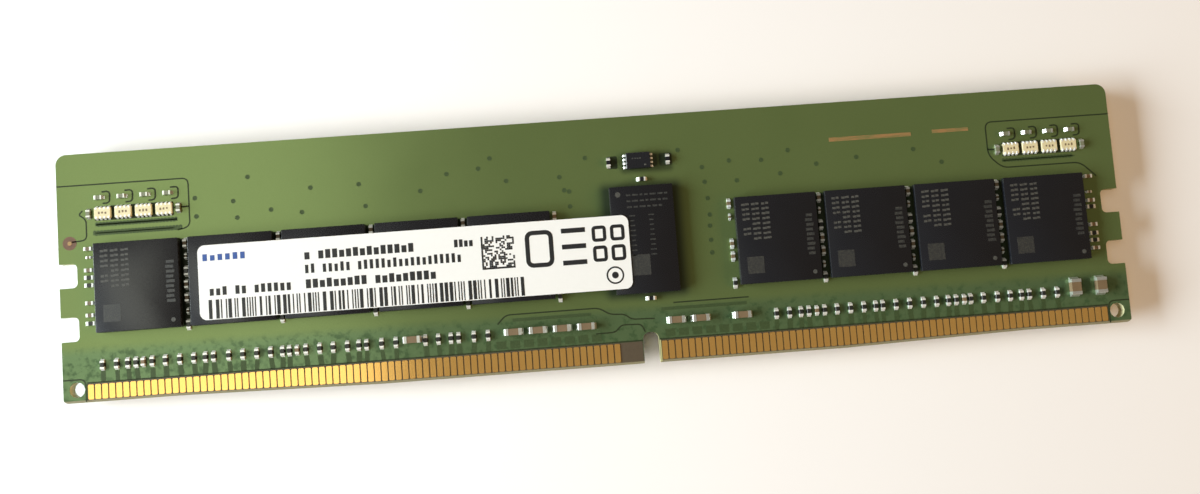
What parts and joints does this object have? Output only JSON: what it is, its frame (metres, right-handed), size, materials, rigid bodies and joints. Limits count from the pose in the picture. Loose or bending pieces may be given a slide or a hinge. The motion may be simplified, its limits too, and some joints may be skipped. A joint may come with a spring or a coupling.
{
  "type": "ram module",
  "caption": "Registered memory module: green board with gold edge contacts, ball-grid memory chips on both faces, a register chip and a white label.",
  "frame": {"origin": "under the middle of the board's outline, on the surface that the back memory chips lie on", "axes": "+X along the module's length, to the right as seen from the front; +Y from the contact edge to the top edge; +Z out of the front face, the one with the register"},
  "size_m": [0.1334, 0.0312, 0.0037],
  "materials": {
    "solder_mask": "satin",
    "gold_contacts": "polished",
    "mould_compound": "satin",
    "label_film": "matte",
    "array_ceramic": "satin",
    "capacitor_ceramic": "satin"
  },
  "bodies": {
    "root": {"board": "solder_mask", "contacts_front_left": "gold_contacts", "contacts_front_right": "gold_contacts", "contacts_back_left": "gold_contacts", "contacts_back_right": "gold_contacts", "memory_chip_front_1": "mould_compound", "memory_chip_front_2": "mould_compound", "memory_chip_front_3": "mould_compound", "memory_chip_front_4": "mould_compound", "memory_chip_front_5": "mould_compound", "memory_chip_front_6": "mould_compound", "memory_chip_front_7": "mould_compound", "memory_chip_front_8": "mould_compound", "memory_chip_front_9": "mould_compound", "memory_chip_back_1": "mould_compound", "memory_chip_back_2": "mould_compound", "memory_chip_back_3": "mould_compound", "memory_chip_back_4": "mould_compound", "memory_chip_back_5": "mould_compound", "memory_chip_back_6": "mould_compound", "memory_chip_back_7": "mould_compound", "memory_chip_back_8": "mould_compound", "memory_chip_back_9": "mould_compound", "register_chip": "mould_compound", "sensor_chip": "mould_compound", "label": "label_film", "resistor_array_left_1": "array_ceramic", "bypass_capacitor_left_1": "capacitor_ceramic", "resistor_array_left_2": "array_ceramic", "bypass_capacitor_left_2": "capacitor_ceramic", "resistor_array_left_3": "array_ceramic", "bypass_capacitor_left_3": "capacitor_ceramic", "resistor_array_left_4": "array_ceramic", "bypass_capacitor_left_4": "capacitor_ceramic", "array_end_capacitor_left_1": "capacitor_ceramic", "array_end_capacitor_left_2": "capacitor_ceramic", "resistor_array_right_1": "array_ceramic", "bypass_capacitor_right_1": "capacitor_ceramic", "resistor_array_right_2": "array_ceramic", "bypass_capacitor_right_2": "capacitor_ceramic", "resistor_array_right_3": "array_ceramic", "bypass_capacitor_right_3": "capacitor_ceramic", "resistor_array_right_4": "array_ceramic", "bypass_capacitor_right_4": "capacitor_ceramic", "array_end_capacitor_right_1": "capacitor_ceramic", "array_end_capacitor_right_2": "capacitor_ceramic", "sensor_capacitor_1": "capacitor_ceramic", "corner_capacitor_1": "capacitor_ceramic", "sensor_capacitor_2": "capacitor_ceramic", "corner_capacitor_2": "capacitor_ceramic", "register_capacitor_upper": "capacitor_ceramic", "register_capacitor_lower": "capacitor_ceramic", "row_capacitor_left_1": "capacitor_ceramic", "row_capacitor_left_2": "capacitor_ceramic", "row_capacitor_left_3": "capacitor_ceramic", "row_capacitor_left_4": "capacitor_ceramic", "row_capacitor_right_1": "capacitor_ceramic", "row_capacitor_right_2": "capacitor_ceramic", "row_capacitor_right_3": "capacitor_ceramic", "row_capacitor_far_left": "capacitor_ceramic"}
  },
  "joints": []
}
